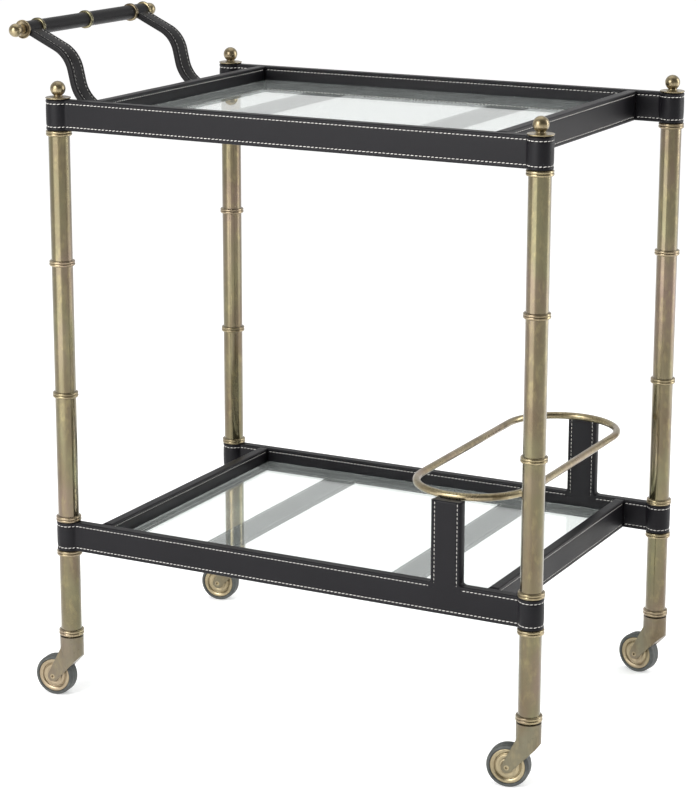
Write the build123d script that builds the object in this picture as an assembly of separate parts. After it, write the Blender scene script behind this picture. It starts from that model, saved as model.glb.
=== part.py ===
from build123d import *
import math
import os

# Serving trolley: four ringed brass legs on swivel castors carry two leather-wrapped steel tray
# frames with loose glass shelves.  A push handle stands off the left end of the upper tray and a
# brass bottle gallery stands on the lower tray.  Millimetres, +Z up, +X away from the handle.
# The origin is on the floor, under the middle of the overall box.

os.makedirs("parts", exist_ok=True)

# ---- overall layout ----
leg_spacing_x = 610.0        # leg axis to leg axis, along the trolley
leg_spacing_y = 400.0        # leg axis to leg axis, across the trolley
lower_band_z = 189.5         # underside of the lower tray's leather band
upper_band_z = 702.5         # underside of the upper tray's leather band
leg_foot_rise = 30.0         # top of a wheel up to the lower end of the leg tubes

# ---- legs ----
tube_radius = 12.7           # outside of the leg tube
tube_wall = 1.5
tie_rod_radius = 4.0         # threaded rod that clamps a leg together
rod_clearance = 0.25         # between the tie rod and the bores that it passes
ring_stand = 2.7             # how far a leg ring stands off its tube
ring_height = 7.0
ring_middle_share = 0.3413   # spacing of the middle rings over that of the end rings
foot_ring_height = 7.6       # the double ring at the foot of a leg
foot_groove = 0.9            # depth of the groove between its beads
bead_lip = 1.1               # how far a ring's thin lips stand off the tube
bead_shoulder = 1.0          # how far its shoulders lie inside its crown
bead_steps = (0.2, 0.28, 0.45, 0.7, 0.88)   # heights of its corners, as shares of its height
solder_gap = 0.05            # between a ring's bore and its tube
ball_radius = 9.0            # finial ball
ball_rise = 12.0             # ball centre above the tray band
ball_neck_radius = 5.2
flange_stand = 2.3           # how far the dished washer under a finial ball stands off the tube
flange_height = 3.4
flange_bevel = 1.2           # under the flange's rim
flange_rim_height = 2.3      # top of the raised rim
flange_rim_width = 1.6
flange_dish_height = 1.7     # where the dished top meets the neck's foot
flange_dish_width = 2.4      # from the ball's neck out to the dish
rod_grip = 5.0               # length of the tie rod in the ball and in the castor plug

# ---- leather-wrapped tray frames ----
band_height = 36.0           # height of the leather band
band_thickness = 13.0        # thickness of a wrapped rail
leather = 2.0                # thickness of the leather over the steel
collar_stand = 2.1           # how far the leather collar round a leg stands off the tube
crease_radius = 3.5          # hollow where a rail runs into its collar
roll_radius = 1.9            # rounding of the leather along its edges
cross_inset = 43.0           # leg axis to the outer face of a cross rail
ledge_width = 22.0           # how far the glass ledge stands in from the long rail
ledge_thickness = 6.0
glass_drop = 17.0            # top of the band down to the top of the glass
glass_thickness = 6.0
glass_gap_long = 1.5         # glass edge to the long rails
glass_gap_cross = 3.0        # glass edge to the cross rails
glass_corner = 2.0
glass_arris = 0.6            # bevel round the top of the glass
crossbar_width = 40.0        # wrapped flat bars under the glass
crossbar_centres = (180.5, 429.5)   # from the left leg axis

# ---- bottle gallery on the lower tray ----
gallery_rod_radius = 4.4
gallery_centre = 507.3       # from the left leg axis
gallery_half_width = 69.0    # rod axis, along the trolley
gallery_half_length = 192.0  # rod axis, across the trolley
gallery_z = 325.7            # height of the rod's axis
gallery_seat = 1.2           # how deep the rod sits in its posts
post_width = 37.0

# ---- push handle ----
handle_reach = 92.2          # left leg axis out to the bar's axis
handle_rise = 106.2          # underside of the upper band up to the bar's axis
bar_core_radius = 5.0
bar_radius = 9.0             # outside of the leather on the bar
bar_disc_radius = 11.3       # brass rings and end discs on the bar
bar_ring_width = 5.0
bar_ring_offset = 104.0      # middle of the bar to an outer ring
bar_disc_width = 3.0
bar_disc_offset = 135.0      # middle of the bar to an end disc
bar_ring_rounding = 0.8      # rim radius of a ring, as a share of half its width
bar_disc_rounding = 0.6      # the same for an end disc
bar_ball_radius = 8.2
bar_ball_offset = 150.0      # middle of the bar to a ball's centre
bar_neck_radius = 5.6
bar_bore_gap = 0.05          # between the rod and what is threaded on it
arm_width = 26.4
arm_thickness = 8.0
arm_leave_angle = 25.0       # slope of the strap where it leaves the bar
arm_drop_angle = 77.0        # slope of the strap's steep stretch
arm_upper_bend = 38.0        # radius of the strap's upper bend
arm_lower_bend = 40.0        # radius of the strap's lower bend
arm_elbow_reach = 32.3       # left leg axis out to the corner of the upper bend
arm_foot_rise = 14.0         # underside of the band up to the strap's foot axis

# ---- castors ----
wheel_radius = 25.0
wheel_width = 17.0
tyre_depth = 4.6
tyre_round = 3.2
hub_boss_radius = 7.0
hub_boss_width = 17.8
hub_steps = ((14.0, 7.0), (15.4, 5.2), (18.0, 6.6))   # (radius, half width) going out
hub_rim_half_width = 7.6     # from the last step out to the tyre
castor_trail = 22.0          # swivel axis to wheel axle
axle_radius = 3.0
axle_dimple_radius = 1.6
axle_dimple_depth = 2.0
running_gap = 0.05           # radial clearance of the pins and the axle
side_gap = 0.5               # hub to fork arm, each side
wheel_gap = 1.5              # tyre to the fork's underside
arm_plate = 2.5              # fork arm thickness
arm_end_radius = 6.6         # rounded end of a fork arm
fork_stand = 1.8             # how far the fork's turned cylinder stands outside the leg tube
fork_top_gap = 1.8           # leg ring to fork cylinder
fork_back_rise = 4.0         # top of the wheel up to the cylinder's lower end, on the far side
fork_arm_width = 9.0         # swivel axis to where the arm's upper edge leaves the cylinder
stem_radius = 5.0
stem_depth = 12.0            # how far the swivel pin reaches into the fork
stem_end_gap = 1.0           # end of the pin to the bottom of its hole
stem_collar_radius = 9.5
plug_length = 22.0           # stem plug inside the leg tube
castor_angles = {"front_left": 186.0, "front_right": 190.0, "back_right": 170.0, "back_left": 188.0}

# ---- places worked out from the sizes above ----
ring_radius = tube_radius + ring_stand
flange_radius = tube_radius + flange_stand
collar_radius = tube_radius + collar_stand
fork_radius = tube_radius + fork_stand
leg_foot_z = 2 * wheel_radius + leg_foot_rise
fork_back_z = 2 * wheel_radius + fork_back_rise
handle_z = upper_band_z + handle_rise
overhang = handle_reach + bar_disc_radius
left_x = (overhang - leg_spacing_x - ring_radius) / 2
right_x = left_x + leg_spacing_x
front_y = -leg_spacing_y / 2
back_y = leg_spacing_y / 2
tube_bore = tube_radius - tube_wall
half_band = band_thickness / 2
legs = {
    "front_left": (left_x, front_y),
    "front_right": (right_x, front_y),
    "back_right": (right_x, back_y),
    "back_left": (left_x, back_y),
}
trays = {"upper": upper_band_z, "lower": lower_band_z}
inner_left = left_x + cross_inset + band_thickness
inner_right = right_x - cross_inset - band_thickness
inner_front = front_y + half_band
inner_back = back_y - half_band
ledge_rise = band_height - glass_drop - glass_thickness
post_top = gallery_z - gallery_rod_radius + gallery_seat
upper_band_top = upper_band_z + band_height
bar_x = left_x - handle_reach
arm_y0 = bar_ring_offset + bar_ring_width / 2
arm_y1 = bar_disc_offset - bar_disc_width / 2
arm_centre = (arm_y0 + arm_y1) / 2
fork_top = leg_foot_z - fork_top_gap
fork_low = 2 * wheel_radius + wheel_gap
fork_mouth_x = fork_radius / 2              # where the clearance under the cylinder starts
fork_inner = hub_boss_width / 2 + side_gap  # swivel plane to the inside of a fork arm
fork_outer = fork_inner + arm_plate


def block(x0, x1, y0, y1, z0, z1):
    """A box between two corners."""
    return Pos((x0 + x1) / 2, (y0 + y1) / 2, (z0 + z1) / 2) * Box(x1 - x0, y1 - y0, z1 - z0)


def rod(x, y, z0, z1, radius):
    """An upright cylinder."""
    return Pos(x, y, (z0 + z1) / 2) * Cylinder(radius, z1 - z0)


def turned(points):
    """A solid of revolution about Z from (radius, height) corners."""
    return revolve(make_face(Polyline(*[(r, 0, z) for r, z in points], close=True)), Axis.Z)


def along_y(shape, x, y, z):
    """Turn a shape's +Z towards +Y and put its origin at a point."""
    return Pos(x, y, z) * Rot(-90, 0, 0) * shape


def soften(shape, axis, radius):
    """Round the straight edges of a bar that run along one axis."""
    return fillet(shape.edges().filter_by(axis), radius)


# ---------------------------------------------------------------- legs

def leg_tube(x, y, z0, z1):
    return rod(x, y, z0, z1, tube_radius) - rod(x, y, z0, z1, tube_bore)


def bead_profile(height):
    """Outline of a turned bead, bore to crown and back, from the bottom up."""
    bore = tube_radius + solder_gap
    lip = bore + bead_lip
    shoulder = ring_radius - bead_shoulder
    radii = (lip, shoulder, ring_radius, ring_radius, shoulder)
    crown = [(radius, height * step) for radius, step in zip(radii, bead_steps)]
    return [(bore, 0), (lip, 0)] + crown + [(lip, height), (bore, height)]


def leg_ring(x, y, z0):
    return Pos(x, y, z0) * turned(bead_profile(ring_height))


def foot_ring(x, y):
    """A taller ring with a V groove round its crown."""
    height = foot_ring_height
    bottom = (ring_radius - foot_groove, height / 2)
    mouth = ring_radius + foot_groove
    groove = turned([bottom, (mouth, height / 2 - 2 * foot_groove), (mouth, height / 2 + 2 * foot_groove)])
    return Pos(x, y, leg_foot_z) * (turned(bead_profile(height)) - groove)


def leg_rings(x, y):
    """Four rings on the upper tube, two of them at its ends; two more finish the lower tube."""
    low = lower_band_z + band_height
    high = upper_band_z - ring_height
    middle = (low + high) / 2
    half_gap = (high - low) * ring_middle_share / 2
    rings = [leg_ring(x, y, z) for z in (low, middle - half_gap, middle + half_gap, high)]
    rings.append(leg_ring(x, y, lower_band_z - ring_height))
    rings.append(foot_ring(x, y))
    return Compound(rings)


def finial_ball(x, y):
    centre = upper_band_top + ball_rise
    seat = upper_band_top + flange_height
    ball = Pos(x, y, centre) * Sphere(ball_radius) + rod(x, y, seat, centre, ball_neck_radius)
    return ball - rod(x, y, seat - rod_grip, seat + rod_grip, tie_rod_radius)


def finial_flange(x, y):
    bore = tie_rod_radius + rod_clearance
    disc = turned([
        (bore, 0),
        (flange_radius - flange_bevel, 0),
        (flange_radius, flange_bevel),
        (flange_radius, flange_rim_height),
        (flange_radius - flange_rim_width, flange_rim_height),
        (ball_neck_radius + flange_dish_width, flange_dish_height),
        (ball_neck_radius + flange_dish_width / 2, flange_height),
        (bore, flange_height),
    ])
    return Pos(x, y, upper_band_top) * disc


def tie_rod(x, y):
    low = leg_foot_z + plug_length - rod_grip
    high = upper_band_top + flange_height + rod_grip
    return rod(x, y, low, high, tie_rod_radius)


def castor_stem(x, y):
    """Plug in the tube, thrust collar under it and the swivel pin below."""
    plug = rod(x, y, leg_foot_z, leg_foot_z + plug_length, tube_bore - solder_gap)
    collar = rod(x, y, fork_top, leg_foot_z, stem_collar_radius)
    pin = rod(x, y, fork_top - stem_depth + stem_end_gap, fork_top, stem_radius)
    bore = rod(x, y, leg_foot_z + plug_length - rod_grip, leg_foot_z + plug_length, tie_rod_radius)
    return plug + collar + pin - bore


# ---------------------------------------------------------------- tray frames

def rail_outer(y, z0):
    """Leather outside of a long rail: a bar from leg to leg that swells into a collar at each."""
    plan = Pos((left_x + right_x) / 2, y) * Rectangle(leg_spacing_x, band_thickness)
    for x in (left_x, right_x):
        plan += Pos(x, y) * Circle(collar_radius)
    creases = [v for v in plan.vertices() if abs(abs(v.Y - y) - half_band) < 0.01]
    plan = fillet(creases, crease_radius)
    band = extrude(plan, band_height)
    rims = band.faces().sort_by(Axis.Z)[0].edges() + band.faces().sort_by(Axis.Z)[-1].edges()
    return Pos(0, 0, z0) * fillet(rims, roll_radius)


def gallery_post(y):
    x = left_x + gallery_centre
    post = block(x - post_width / 2, x + post_width / 2, y - half_band, y + half_band,
                 lower_band_z + band_height / 2, post_top)
    return soften(post, Axis.Z, roll_radius)


def cross_outer(x0, z0):
    bar = block(x0, x0 + band_thickness, inner_front, inner_back, z0, z0 + band_height)
    return soften(bar, Axis.Y, roll_radius)


def ledge_outer(y0, y1, z0):
    low = z0 + ledge_rise - ledge_thickness
    return block(inner_left, inner_right, y0, y1, low, z0 + ledge_rise)


def crossbar_outer(centre, z0):
    x = left_x + centre
    low = z0 + ledge_rise - ledge_thickness
    bar = block(x - crossbar_width / 2, x + crossbar_width / 2, inner_front + ledge_width,
                inner_back - ledge_width, low, z0 + ledge_rise)
    return soften(bar, Axis.Y, roll_radius)


def leg_bores(z0):
    """Clearance holes for the tie rods through one tray."""
    return [rod(x, y, z0, z0 + band_height, tie_rod_radius + rod_clearance) for x, y in legs.values()]


def steel_frame(z0, with_posts):
    """The welded frame inside the leather, not yet bored for the tie rods."""
    low = z0 + leather
    high = z0 + band_height - leather
    ledge_low = z0 + ledge_rise - ledge_thickness + leather
    ledge_high = z0 + ledge_rise - leather
    inset = half_band - leather
    frame = None
    for y in (front_y, back_y):
        bar = block(left_x, right_x, y - inset, y + inset, low, high)
        frame = bar if frame is None else frame + bar
        if with_posts:
            x = left_x + gallery_centre
            frame += block(x - post_width / 2 + leather, x + post_width / 2 - leather, y - inset, y + inset,
                           low, post_top)
    for x0 in (left_x + cross_inset, right_x - cross_inset - band_thickness):
        frame += block(x0 + leather, x0 + band_thickness - leather, front_y, back_y, low, high)
    ledge_reach = half_band + ledge_width - leather
    for y0, y1 in ((front_y, front_y + ledge_reach), (back_y - ledge_reach, back_y)):
        frame += block(inner_left - leather, inner_right + leather, y0, y1, ledge_low, ledge_high)
    for centre in crossbar_centres:
        x = left_x + centre
        frame += block(x - crossbar_width / 2 + leather, x + crossbar_width / 2 - leather, front_y, back_y,
                       ledge_low, ledge_high)
    for x, y in legs.values():
        frame += rod(x, y, z0, z0 + band_height, tube_radius)
    return frame


def glass_shelf(z0):
    top = z0 + band_height - glass_drop
    plate = block(inner_left + glass_gap_cross, inner_right - glass_gap_cross, inner_front + glass_gap_long,
                  inner_back - glass_gap_long, top - glass_thickness, top)
    plate = fillet(plate.edges().filter_by(Axis.Z), glass_corner)
    return chamfer(plate.faces().sort_by(Axis.Z)[-1].edges(), glass_arris)


def gallery_ring():
    """A round rod bent into a long loop with half-round ends."""
    straight = gallery_half_length - gallery_half_width
    section = Plane.XZ * Pos(gallery_half_width, 0) * Circle(gallery_rod_radius)
    bend = revolve(section, Axis.Z, 180)
    x = left_x + gallery_centre
    loop = Pos(x, straight, gallery_z) * bend + Pos(x, -straight, gallery_z) * Rot(0, 0, 180) * bend
    for rod_x in (x - gallery_half_width, x + gallery_half_width):
        loop += along_y(Cylinder(gallery_rod_radius, 2 * straight), rod_x, 0, gallery_z)
    return loop


# ---------------------------------------------------------------- push handle

def arm_line(reach_in):
    """Centre line of a handle strap, from the bar down to the tray frame."""
    leave = math.tan(math.radians(arm_leave_angle))
    drop = math.tan(math.radians(arm_drop_angle))
    elbow_x = left_x - arm_elbow_reach
    elbow_z = handle_z - leave * (elbow_x - bar_x)
    foot_z = upper_band_z + arm_foot_rise
    knee_x = elbow_x + (elbow_z - foot_z) / drop
    points = [(bar_x, 0, handle_z), (elbow_x, 0, elbow_z), (knee_x, 0, foot_z),
              (left_x + cross_inset + reach_in, 0, foot_z)]
    return FilletPolyline(*points, radius=[arm_upper_bend, arm_lower_bend])


def strap(reach_in, width, thickness, rounding):
    line = arm_line(reach_in)
    start = Plane(origin=line @ 0, x_dir=(0, 1, 0), z_dir=line % 0)
    section = Rectangle(width, thickness)
    if rounding:
        section = fillet(section.vertices(), rounding)
    return sweep(start * section, path=line)


def bar_span(y0, y1, radius):
    """A cylinder about the handle bar's axis."""
    return along_y(Cylinder(radius, y1 - y0), bar_x, (y0 + y1) / 2, handle_z)


def handle_arm_steel(side):
    steel = strap(leather, arm_width - 2 * leather, arm_thickness - 2 * leather, 0)
    return Pos(0, side * arm_centre, 0) * steel - handle_bore()


def handle_arm_leather(side):
    """Leather over one strap, carried round the bar between a ring and the end disc."""
    wrap = Pos(0, side * arm_centre, 0) * strap(0, arm_width, arm_thickness, roll_radius)
    ends = sorted((side * arm_y0, side * arm_y1))
    wrap += bar_span(ends[0], ends[1], bar_radius)
    return wrap - Pos(0, side * arm_centre, 0) * strap(
        leather, arm_width - 2 * leather, arm_thickness - 2 * leather, 0) - handle_bore()


def handle_bore():
    return bar_span(-bar_ball_offset, bar_ball_offset, bar_core_radius + bar_bore_gap)


def handle_rod():
    return bar_span(-bar_ball_offset, bar_ball_offset, bar_core_radius)


def handle_grip(side):
    """Leather sleeve between the middle ring and an outer ring."""
    ends = sorted((side * bar_ring_width / 2, side * (bar_ring_offset - bar_ring_width / 2)))
    return bar_span(ends[0], ends[1], bar_radius) - handle_bore()


def handle_ring(y):
    half = bar_ring_width / 2
    ring = bar_span(y - half, y + half, bar_disc_radius)
    rims = ring.edges().filter_by(GeomType.CIRCLE)
    return fillet(rims, half * bar_ring_rounding) - handle_bore()


def handle_disc(y):
    half = bar_disc_width / 2
    disc = bar_span(y - half, y + half, bar_disc_radius)
    rims = disc.edges().filter_by(GeomType.CIRCLE)
    return fillet(rims, half * bar_disc_rounding) - handle_bore()


def handle_ball(side):
    """End ball with its neck, bored for the end of the rod."""
    seat = bar_disc_offset + bar_disc_width / 2
    ball = Pos(bar_x, side * bar_ball_offset, handle_z) * Sphere(bar_ball_radius)
    ends = sorted((side * seat, side * bar_ball_offset))
    return ball + bar_span(ends[0], ends[1], bar_neck_radius) - handle_bore()


# ---------------------------------------------------------------- castors, wheel side along +X

def side_view(face, half_width):
    """Extrude a face drawn in the XZ plane, equally to both sides."""
    return extrude(Plane.XZ * face, half_width, both=True)


def fork_arm_face():
    """Slanted arm with a round end about the axle, seen from the side."""
    slope = arm_end_radius * math.sqrt(0.5)
    fork_side = castor_trail + slope - fork_arm_width
    corners = [
        (-fork_radius, fork_back_z),
        (-fork_radius, fork_top),
        (fork_arm_width - arm_end_radius, fork_top),
        (fork_arm_width, wheel_radius + slope + fork_side),
    ]
    end = Pos(castor_trail, wheel_radius) * Circle(arm_end_radius)
    outline = Polyline(*corners, close=True)
    return make_hull(outline.edges() + end.edges())


def fork():
    back_slope = (fork_back_z - wheel_radius) / (castor_trail + fork_radius)
    bevel = (fork_back_z - fork_low) / back_slope
    corners = [
        (-fork_radius, fork_back_z),
        (-fork_radius + bevel, fork_low),
        (fork_radius, fork_low),
        (fork_radius, fork_top),
        (-fork_radius, fork_top),
    ]
    body_face = Polygon(*corners, align=None)
    barrel = rod(0, 0, 0, fork_top, fork_radius)
    body = side_view(body_face, fork_radius) & barrel
    reach = castor_trail + 2 * arm_end_radius
    room = barrel + block(0, reach, -fork_outer, fork_outer, 0, fork_top)
    arms = side_view(fork_arm_face(), fork_outer) & room
    pocket = along_y(Cylinder(wheel_radius + wheel_gap, 2 * fork_inner), castor_trail, 0, wheel_radius)
    arms -= pocket
    arms -= block(fork_mouth_x, reach + wheel_radius, -fork_inner, fork_inner, 0, fork_low)
    hole = rod(0, 0, fork_top - stem_depth, fork_top, stem_radius + running_gap)
    axle_hole = along_y(Cylinder(axle_radius, 2 * fork_outer), castor_trail, 0, wheel_radius)
    return body + arms - hole - axle_hole


def axle():
    pin = along_y(Cylinder(axle_radius, 2 * fork_outer), castor_trail, 0, wheel_radius)
    for side in (-1, 1):
        y = side * (fork_outer - axle_dimple_depth / 2)
        pin -= along_y(Cylinder(axle_dimple_radius, axle_dimple_depth), castor_trail, y, wheel_radius)
    return pin


def wheel_hub():
    bore = axle_radius + running_gap
    half = [(bore, 0), (bore, hub_boss_width / 2), (hub_boss_radius, hub_boss_width / 2)]
    inner = hub_boss_radius
    for radius, half_width in hub_steps + ((wheel_radius - tyre_depth, hub_rim_half_width),):
        half += [(inner, half_width), (radius, half_width)]
        inner = radius
    mirrored = [(r, -y) for r, y in reversed(half[1:])]
    return along_y(turned(half[1:] + mirrored), castor_trail, 0, wheel_radius)


def wheel_tyre():
    ring = Cylinder(wheel_radius, wheel_width)
    ring = fillet(ring.edges().filter_by(GeomType.CIRCLE), tyre_round)
    ring -= Cylinder(wheel_radius - tyre_depth, wheel_width)
    return along_y(ring, castor_trail, 0, wheel_radius)


# ---------------------------------------------------------------- the whole trolley

def tray_nodes(tray, z0):
    """Steel frame, its leather covers and the glass of one tray."""
    lower = tray == "lower"
    steel = steel_frame(z0, lower)
    covers = {
        "front_leather": rail_outer(front_y, z0),
        "back_leather": rail_outer(back_y, z0),
        "left_leather": cross_outer(left_x + cross_inset, z0),
        "right_leather": cross_outer(right_x - cross_inset - band_thickness, z0),
        "ledge_leathers": Compound([
            ledge_outer(inner_front, inner_front + ledge_width, z0),
            ledge_outer(inner_back - ledge_width, inner_back, z0),
        ]),
        "crossbar_leathers": Compound([crossbar_outer(centre, z0) for centre in crossbar_centres]),
    }
    if lower:
        loop = gallery_ring()
        covers["front_leather"] = covers["front_leather"] + gallery_post(front_y) - loop
        covers["back_leather"] = covers["back_leather"] + gallery_post(back_y) - loop
        steel -= loop
        yield "bottle_gallery_ring", loop
    else:
        for side in (-1, 1):
            covers["left_leather"] -= handle_arm_steel(side)
    for name, cover in covers.items():
        yield tray + "_" + name, cover - steel
    yield tray + "_steel_frame", steel - leg_bores(z0)
    yield tray + "_glass", glass_shelf(z0)


def leg_nodes():
    for name, (x, y) in legs.items():
        yield name + "_upper_tube", leg_tube(x, y, lower_band_z + band_height, upper_band_z)
        yield name + "_lower_tube", leg_tube(x, y, leg_foot_z, lower_band_z)
        yield name + "_rings", leg_rings(x, y)
        yield name + "_finial_ball", finial_ball(x, y)
    yield "finial_flanges", Compound([finial_flange(x, y) for x, y in legs.values()])
    yield "leg_tie_rods", Compound([tie_rod(x, y) for x, y in legs.values()])
    yield "castor_stems", Compound([castor_stem(x, y) for x, y in legs.values()])


def handle_nodes():
    yield "handle_rod", handle_rod()
    yield "handle_arm_steels", Compound([handle_arm_steel(side) for side in (-1, 1)])
    for name, side in (("front", -1), ("back", 1)):
        yield "handle_" + name + "_arm_leather", handle_arm_leather(side)
    yield "handle_grips", Compound([handle_grip(side) for side in (-1, 1)])
    yield "handle_rings", Compound([handle_ring(i * bar_ring_offset) for i in (-1, 0, 1)])
    yield "handle_end_discs", Compound([handle_disc(i * bar_disc_offset) for i in (-1, 1)])
    yield "handle_end_balls", Compound([handle_ball(side) for side in (-1, 1)])


def castor_nodes():
    pieces = {"fork": fork(), "axle": axle(), "wheel_hub": wheel_hub(), "wheel_tyre": wheel_tyre()}
    for name, (x, y) in legs.items():
        place = Pos(x, y, 0) * Rot(0, 0, castor_angles[name])
        for piece, shape in pieces.items():
            yield name + "_" + piece, place * shape


def main():
    nodes = {}
    for tray, z0 in trays.items():
        nodes.update(tray_nodes(tray, z0))
    nodes.update(leg_nodes())
    nodes.update(handle_nodes())
    nodes.update(castor_nodes())
    for name, shape in nodes.items():
        export_step(shape, "parts/" + name + ".step")
    print(len(nodes), "nodes")


main()
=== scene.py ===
import bpy
import math
import numpy as np
from mathutils import Matrix, Vector


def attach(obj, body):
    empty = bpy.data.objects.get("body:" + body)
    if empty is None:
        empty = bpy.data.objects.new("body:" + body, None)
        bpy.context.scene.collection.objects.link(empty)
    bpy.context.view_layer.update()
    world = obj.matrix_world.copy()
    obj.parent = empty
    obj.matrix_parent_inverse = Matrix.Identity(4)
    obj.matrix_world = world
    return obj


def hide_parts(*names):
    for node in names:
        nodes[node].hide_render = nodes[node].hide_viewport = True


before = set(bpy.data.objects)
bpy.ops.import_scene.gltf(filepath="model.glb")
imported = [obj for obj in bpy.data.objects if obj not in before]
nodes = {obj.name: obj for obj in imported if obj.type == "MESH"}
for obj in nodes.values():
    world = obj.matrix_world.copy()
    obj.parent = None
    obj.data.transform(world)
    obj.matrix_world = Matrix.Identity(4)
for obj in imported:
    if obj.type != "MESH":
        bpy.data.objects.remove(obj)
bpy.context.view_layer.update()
mm = 0.001
print("loaded", len(nodes), "nodes")

# Places shared by the pieces, in millimetres, as in the CAD model.
layout = {
    "leftX": -260.95,
    "rightX": 349.05,
    "frontY": -200.0,
    "backY": 200.0,
    "lowerBand": 189.5,
    "upperBand": 702.5,
    "bandHeight": 36.0,
    "bandThickness": 13.0,
    "crossInset": 43.0,
    "galleryX": 246.35,
    "barX": -353.15,
    "barZ": 808.7,
    "legFoot": 80.0,
}
legs = {
    "front_left": (layout["leftX"], layout["frontY"]),
    "front_right": (layout["rightX"], layout["frontY"]),
    "back_right": (layout["rightX"], layout["backY"]),
    "back_left": (layout["leftX"], layout["backY"]),
}
bands = {"lower": layout["lowerBand"], "upper": layout["upperBand"]}
castorAngles = {"front_left": 186.0, "front_right": 190.0, "back_right": 170.0, "back_left": 188.0}


class Shells:
    # Collects closed shells, given as grids of points in millimetres, and turns them into one mesh piece.
    def __init__(self):
        self.points = []
        self.quads = []
        self.tris = []
        self.count = 0

    def add(self, grid, capEnds=True):
        # A grid of rows x columns, closed round its columns; a fan to the middle may close its end rows.
        rows, cols = grid.shape[:2]
        a, b = np.meshgrid(np.arange(rows - 1), np.arange(cols), indexing="ij")
        c, d = a + 1, (b + 1) % cols
        quads = np.stack([a * cols + b, a * cols + d, c * cols + d, c * cols + b], -1).reshape(-1, 4)
        points = grid.reshape(-1, 3)
        tris = np.zeros((0, 3), int)
        if capEnds:
            edge = np.arange(cols)
            after = (edge + 1) % cols
            last = (rows - 1) * cols
            tops = np.full(cols, len(points))
            points = np.vstack([points, grid[0].mean(0), grid[-1].mean(0)])
            tris = np.vstack([np.stack([after, edge, tops], -1),
                              np.stack([last + edge, last + after, tops + 1], -1)])
        corners = np.vstack([quads[:, [0, 1, 2]], quads[:, [0, 2, 3]], tris])
        p, q, r = (points[corners[:, i]] for i in range(3))
        if np.einsum("ij,ij->", p, np.cross(q, r)) < 0:
            quads = quads[:, ::-1]
            tris = tris[:, ::-1]
        self.points.append(points)
        self.quads.append(quads + self.count)
        self.tris.append(tris + self.count)
        self.count += len(points)

    def copies(self, points, quads, places):
        # Many copies of one small shell: places is (copies, 3, 4), a turn and a shift for each.
        many = np.einsum("kij,nj->kni", places[:, :, :3], points) + places[:, None, :, 3]
        shifts = self.count + np.arange(len(places)) * len(points)
        self.points.append(many.reshape(-1, 3))
        self.quads.append((quads[None] + shifts[:, None, None]).reshape(-1, 4))
        self.count += len(places) * len(points)

    def piece(self, name, material, body, replaces=()):
        points = np.vstack(self.points) * mm
        quads = np.vstack(self.quads)
        tris = np.vstack(self.tris) if self.tris else np.zeros((0, 3), int)
        sizes = np.concatenate([np.full(len(quads), 4), np.full(len(tris), 3)]).astype(np.int32)
        mesh = bpy.data.meshes.new(name)
        mesh.vertices.add(len(points))
        mesh.vertices.foreach_set("co", points.astype(np.float32).ravel())
        mesh.loops.add(int(sizes.sum()))
        corners = np.concatenate([quads.ravel(), tris.ravel()])
        mesh.loops.foreach_set("vertex_index", corners.astype(np.int32))
        mesh.polygons.add(len(sizes))
        mesh.polygons.foreach_set("loop_start", (np.cumsum(sizes) - sizes).astype(np.int32))
        mesh.polygons.foreach_set("use_smooth", np.ones(len(sizes), bool))
        mesh.update(calc_edges=True)
        mesh.validate()
        mesh.materials.append(material)
        obj = bpy.data.objects.new(name, mesh)
        bpy.context.scene.collection.objects.link(obj)
        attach(obj, body)
        if replaces:
            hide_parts(*replaces)
        return obj


def arc(x, y, radius, start, end, count):
    # Points on an arc, angles in radians.
    t = np.linspace(start, end, count)
    return np.stack([x + radius * np.cos(t), y + radius * np.sin(t)], -1)


def eased(points, rounds=2, keep=0.8):
    # Corner cutting of an open outline: a corner gives way to two points, each that share of the way
    # along its edge.
    for _ in range(rounds):
        a, b = points[:-1], points[1:]
        cut = np.stack([a * keep + b * (1 - keep), a * (1 - keep) + b * keep], 1).reshape(-1, 2)
        points = np.vstack([points[:1], cut, points[-1:]])
    return points


def lathe(profile, centre, turn=None, steps=96):
    # Surface of revolution: (r cos t, r sin t, z) for each (r, z) of the outline, then turned and moved
    # into place.
    profile = np.asarray(profile, float)
    t = np.arange(steps) * 2 * math.pi / steps
    r, z = np.maximum(profile[:, 0], 0.02), profile[:, 1]
    grid = np.stack([r[:, None] * np.cos(t), r[:, None] * np.sin(t), np.repeat(z[:, None], steps, 1)], -1)
    if turn is not None:
        grid = grid @ np.array(turn).T
    return grid + np.array(centre)


alongY = [[1, 0, 0], [0, 0, 1], [0, -1, 0]]


def barFrame(side):
    # Turns a lathe's +Z towards the outside of the handle bar, which lies along Y.
    return [[1, 0, 0], [0, 0, side], [0, -side, 0]]


stitch = {
    "pitch": 4.9,
    "length": 3.8,
    "width": 1.0,
    "height": 0.85,
    "slant": 7.0,        # degrees off the line of the seam
    "slantSpread": 2.5,
    "sizeSpread": 0.04,
    "sink": 0.08,        # centre of a stitch under the leather's face
    "edge": 4.5,         # seam to the cover's edge
}


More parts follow.
